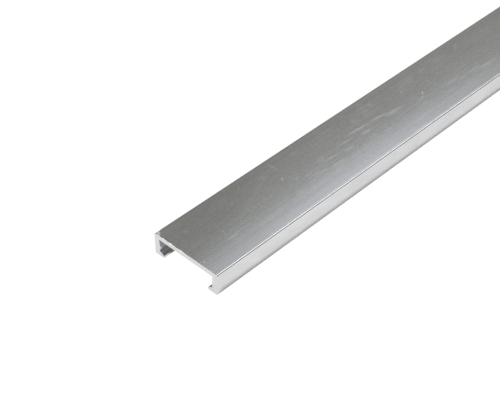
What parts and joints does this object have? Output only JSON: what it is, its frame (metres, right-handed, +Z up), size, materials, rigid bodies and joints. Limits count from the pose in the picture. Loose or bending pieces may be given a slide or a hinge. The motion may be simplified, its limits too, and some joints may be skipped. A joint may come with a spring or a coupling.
{
  "type": "aluminium channel profile",
  "caption": "Straight mill-finish aluminium extrusion: a wide flat plate with short legs that turn inward into hook lips along an open underside.",
  "frame": {"origin": "middle of the bar's length and width, at the undersides of the lips", "axes": "+X along the bar, +Y across its width, +Z up through the plate, so the open side faces down"},
  "size_m": [1, 0.025, 0.0075],
  "materials": {
    "mill_aluminium": "bare mill finish with faint lengthwise die lines and sawn ends"
  },
  "bodies": {
    "root": {"profile": "mill_aluminium"}
  },
  "joints": []
}
